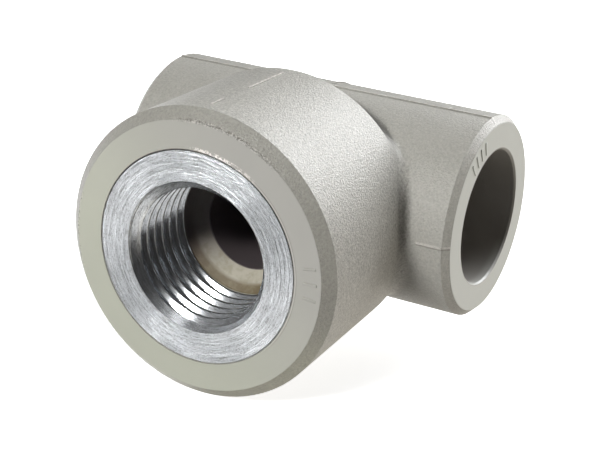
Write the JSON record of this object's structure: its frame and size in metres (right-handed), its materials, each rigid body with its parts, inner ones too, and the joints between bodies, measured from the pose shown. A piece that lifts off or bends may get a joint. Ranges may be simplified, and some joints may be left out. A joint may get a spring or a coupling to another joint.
{
  "type": "pipe tee",
  "caption": "Moulded plastic pipe tee with a fusion socket in each end of its run and a metal female thread insert in its thick round branch.",
  "frame": {"origin": "where the axis of the run crosses the axis of the branch, in the middle of the run's waterway", "axes": "+X along the run, -Y out of the threaded branch, +Z square to both"},
  "size_m": [0.0534, 0.0512, 0.041],
  "materials": {
    "body_plastic": "satin grey moulding, spark-eroded outside, smooth end faces",
    "insert_metal": "turned and nickel plated"
  },
  "bodies": {
    "root": {"tee_body": "body_plastic", "threaded_insert": "insert_metal"}
  },
  "joints": []
}
